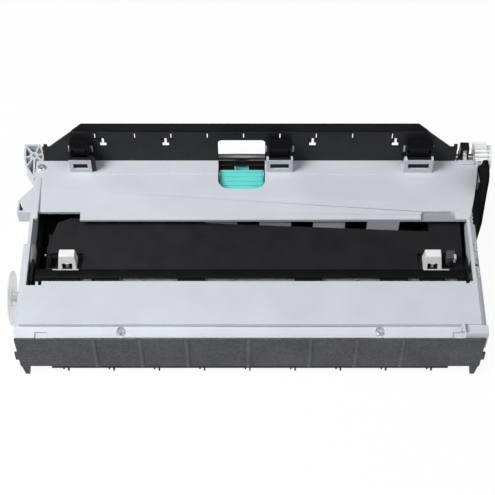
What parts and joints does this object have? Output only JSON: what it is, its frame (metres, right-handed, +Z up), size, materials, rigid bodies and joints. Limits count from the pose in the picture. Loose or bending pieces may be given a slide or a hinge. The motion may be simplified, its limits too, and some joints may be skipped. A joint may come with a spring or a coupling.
{
  "type": "waste ink container",
  "caption": "Waste ink container of an office inkjet printer: gray frame over a black felt-filled tank, with paper rollers, side gears, a rear plate and a teal latch.",
  "frame": {"origin": "on the flat base of the tank, at the middle of its width and 60 mm behind its front wall", "axes": "+X to the right along the rollers, +Y from the front panel to the rear plate, +Z up"},
  "size_m": [0.3471, 0.1704, 0.0927],
  "materials": {
    "gray_plastic": "fine matte light gray moulding",
    "dark_textured": "dark gray moulding with a coarse spark texture",
    "black_plastic": "black satin moulding",
    "white_plastic": "natural white acetal",
    "clear_white_plastic": "milky acetal, a little translucent",
    "teal_plastic": "teal satin moulding",
    "steel": "ground steel",
    "zinc_steel": "zinc plated, bright",
    "black_rubber": "black rubber",
    "felt": "pressed felt"
  },
  "bodies": {
    "container": {"top_frame": "gray_plastic", "rear_plate": "black_plastic", "front_panel": "dark_textured", "bottom_guide": "dark_textured", "ink_tank": "black_plastic", "felt_left": "felt", "felt_centre": "felt", "felt_right": "felt", "tray_deck": "black_plastic", "guide_block_left": "white_plastic", "guide_block_right": "white_plastic", "block_strip_left": "steel", "block_strip_right": "steel", "side_bracket_left": "black_plastic", "side_bracket_right": "black_plastic", "front_bush_left": "white_plastic", "front_bush_right": "white_plastic", "idler_studs": "steel", "shaft_bracket": "black_plastic", "gear_cover": "gray_plastic", "left_cover": "gray_plastic", "side_arm": "black_plastic", "arm_screw": "zinc_steel", "wheel_axle": "steel", "latch_spring": "steel", "finger_guard": "black_plastic", "frame_screws": "zinc_steel"},
    "latch": {"latch_slider": "teal_plastic"},
    "rear_roller": {"rear_shaft": "steel", "rear_rollers": "black_rubber", "rear_inner_gear": "white_plastic", "drive_gear": "white_plastic"},
    "front_roller": {"front_shaft": "steel", "front_rollers": "black_rubber", "front_shaft_clips": "steel", "front_gear": "white_plastic"},
    "idler_a": {"idler_gear_a": "white_plastic"},
    "idler_b": {"idler_gear_b": "white_plastic"},
    "idler_c": {"idler_gear_c": "white_plastic"},
    "wheel": {"left_wheel": "clear_white_plastic"}
  },
  "joints": [
    {"name": "latch_slide", "type": "slide", "parent": "container", "child": "latch", "axis": [0, -1, 0], "range_m": [0, 0.005], "stiffness_N_per_m": 300, "springref_m": -0.004, "deforming": ["latch_spring"]},
    {"name": "rear_roller_spin", "type": "hinge", "parent": "container", "child": "rear_roller", "pos_m": [0, 0.0876, 0.04502], "axis": [1, 0, 0], "continuous": true},
    {"name": "idler_a_spin", "type": "hinge", "parent": "container", "child": "idler_a", "pos_m": [0.1569, 0.06372, 0.03243], "axis": [1, 0, 0], "continuous": true},
    {"name": "idler_b_spin", "type": "hinge", "parent": "container", "child": "idler_b", "pos_m": [0.1569, 0.03072, 0.03271], "axis": [1, 0, 0], "continuous": true},
    {"name": "idler_c_spin", "type": "hinge", "parent": "container", "child": "idler_c", "pos_m": [0.1569, 0.00192, 0.0361], "axis": [1, 0, 0], "continuous": true},
    {"name": "front_roller_spin", "type": "hinge", "parent": "container", "child": "front_roller", "pos_m": [0, -0.0185, 0.041], "axis": [1, 0, 0], "continuous": true},
    {"name": "wheel_spin", "type": "hinge", "parent": "container", "child": "wheel", "pos_m": [-0.1673, -0.0246, 0.0256], "axis": [1, 0, 0], "continuous": true}
  ],
  "couplings": [
    {"joint": "idler_a_spin", "follows": "rear_roller_spin", "ratio": -0.58824},
    {"joint": "idler_b_spin", "follows": "rear_roller_spin", "ratio": 0.625},
    {"joint": "idler_c_spin", "follows": "rear_roller_spin", "ratio": -0.76923},
    {"joint": "front_roller_spin", "follows": "rear_roller_spin", "ratio": 1.25}
  ]
}
